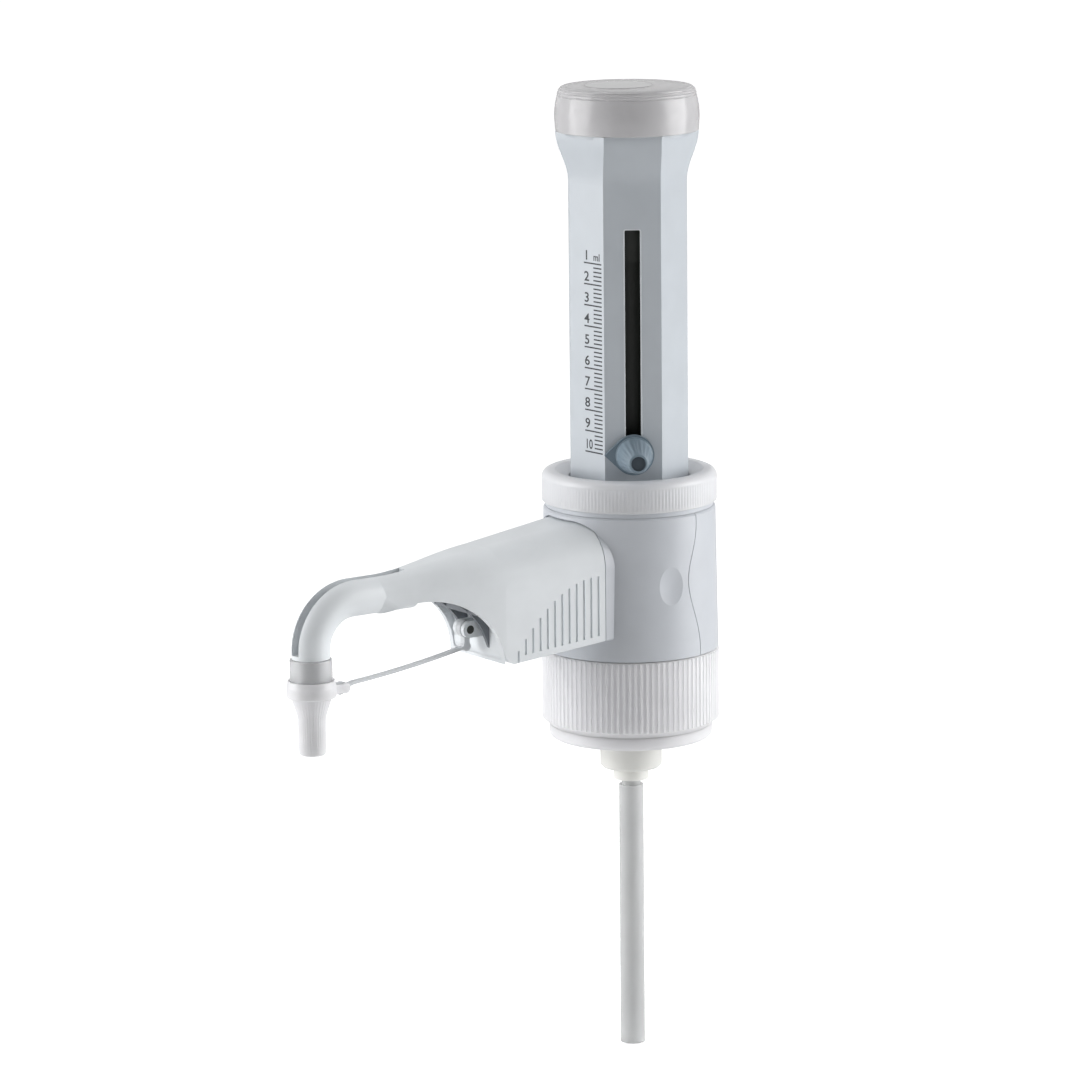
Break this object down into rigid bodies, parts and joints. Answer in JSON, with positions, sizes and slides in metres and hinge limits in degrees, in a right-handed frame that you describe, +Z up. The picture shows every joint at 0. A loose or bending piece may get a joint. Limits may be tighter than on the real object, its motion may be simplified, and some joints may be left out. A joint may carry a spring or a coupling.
{
  "type": "bottle-top dispenser",
  "caption": "Bottle-top dispenser: sleeve handle with scale and pointer, swivelling body with arched spout, strapped screw cap, lock ring, ribbed skirt and filling tube",
  "frame": {"origin": "centre of the adapter's face that the bottle's rim seals on", "axes": "+Z up along the bottle's axis, -X along the discharge spout, +Y completes the right-handed frame"},
  "size_m": [0.1521, 0.0562, 0.2988],
  "materials": {
    "body_grey": "satin",
    "pale_cap": "polished",
    "blue_grey": "satin",
    "label_white": "matt",
    "dark_plastic": "satin",
    "tube_grey": "satin",
    "strap_grey": "satin",
    "white_fluoropolymer": "satin",
    "clear_tube": "polished",
    "seal": "matt",
    "glass": "polished",
    "ball_white": "polished",
    "spring_steel": "drawn"
  },
  "bodies": {
    "bottle_union": {"threaded_skirt": "pale_cap", "bottle_adapter": "pale_cap", "adapter_seal": "seal"},
    "housing": {"valve_block": "white_fluoropolymer", "front_shell": "body_grey", "rear_shell": "body_grey", "spout_housing": "body_grey", "discharge_tube": "tube_grey", "tip_ferrule": "pale_cap", "strap_pivot_pin": "dark_plastic", "outlet_valve_seat": "white_fluoropolymer", "outlet_valve_cage": "white_fluoropolymer", "outlet_spring": "spring_steel", "glass_cylinder": "glass", "cylinder_jacket": "dark_plastic", "filling_valve_body": "white_fluoropolymer", "filling_valve_seat": "white_fluoropolymer", "valve_seal_ring": "seal", "tube_connector": "white_fluoropolymer", "filling_tube_inner": "clear_tube"},
    "lock_ring": {"lock_ring": "pale_cap"},
    "handle": {"handle_sleeve": "body_grey", "handle_cap": "pale_cap", "label_disc": "label_white", "piston_rod": "white_fluoropolymer", "piston_head": "white_fluoropolymer", "piston_seal": "seal", "volume_track": "dark_plastic"},
    "pointer": {"volume_pointer": "body_grey", "pointer_block": "dark_plastic"},
    "thumb_screw": {"thumb_screw": "blue_grey"},
    "filling_tube": {"filling_tube_outer": "clear_tube"},
    "inlet_ball": {"filling_ball": "ball_white"},
    "outlet_ball": {"outlet_ball": "ball_white"},
    "cap_carrier": {"cap_ring": "strap_grey"},
    "screw_cap": {"screw_cap": "pale_cap"},
    "strap": {"cap_strap": "strap_grey"}
  },
  "joints": [
    {"name": "housing_swivel", "type": "hinge", "parent": "bottle_union", "child": "housing", "pos_m": [0, 0, 0.02], "axis": [0, 0, 1], "continuous": true},
    {"name": "handle_lift", "type": "slide", "parent": "housing", "child": "handle", "axis": [0, 0, 1], "range_m": [0, 0.06404]},
    {"name": "volume_setting", "type": "slide", "parent": "handle", "child": "pointer", "axis": [0, 0, -1], "range_m": [-0.05764, 0]},
    {"name": "clamp_turn", "type": "hinge", "parent": "pointer", "child": "thumb_screw", "pos_m": [-0.00922, -0.01476, 0.0751], "axis": [-0.5299, -0.848, 0], "range_deg": [0, 270]},
    {"name": "lock_turn", "type": "hinge", "parent": "housing", "child": "lock_ring", "pos_m": [0, 0, 0.06], "axis": [0, 0, 1], "range_deg": [0, 90]},
    {"name": "tube_extension", "type": "slide", "parent": "housing", "child": "filling_tube", "axis": [0, 0, -1], "range_m": [0, 0.06]},
    {"name": "inlet_ball_lift", "type": "slide", "parent": "housing", "child": "inlet_ball", "axis": [0, 0, 1], "range_m": [0, 0.0015]},
    {"name": "outlet_ball_lift", "type": "slide", "parent": "housing", "child": "outlet_ball", "axis": [0, 0, 1], "range_m": [0, 0.0012], "stiffness_N_per_m": 20, "springref_m": -0.0005, "deforming": ["outlet_spring"]},
    {"name": "cap_drop", "type": "slide", "parent": "housing", "child": "cap_carrier", "axis": [0, 0, -1], "range_m": [0, 0.005]},
    {"name": "cap_unscrew", "type": "hinge", "parent": "cap_carrier", "child": "screw_cap", "pos_m": [-0.1174, 0, 0.01], "axis": [0, 0, -1], "range_deg": [0, 900]},
    {"name": "strap_tilt", "type": "hinge", "parent": "housing", "child": "strap", "pos_m": [-0.062, 0, 0.0264], "axis": [0, -1, 0], "range_deg": [0, 5.84]}
  ],
  "couplings": [
    {"joint": "cap_unscrew", "follows": "cap_drop", "rad_per_m": 3141.6},
    {"joint": "strap_tilt", "follows": "cap_drop", "rad_per_m": 20.394}
  ]
}
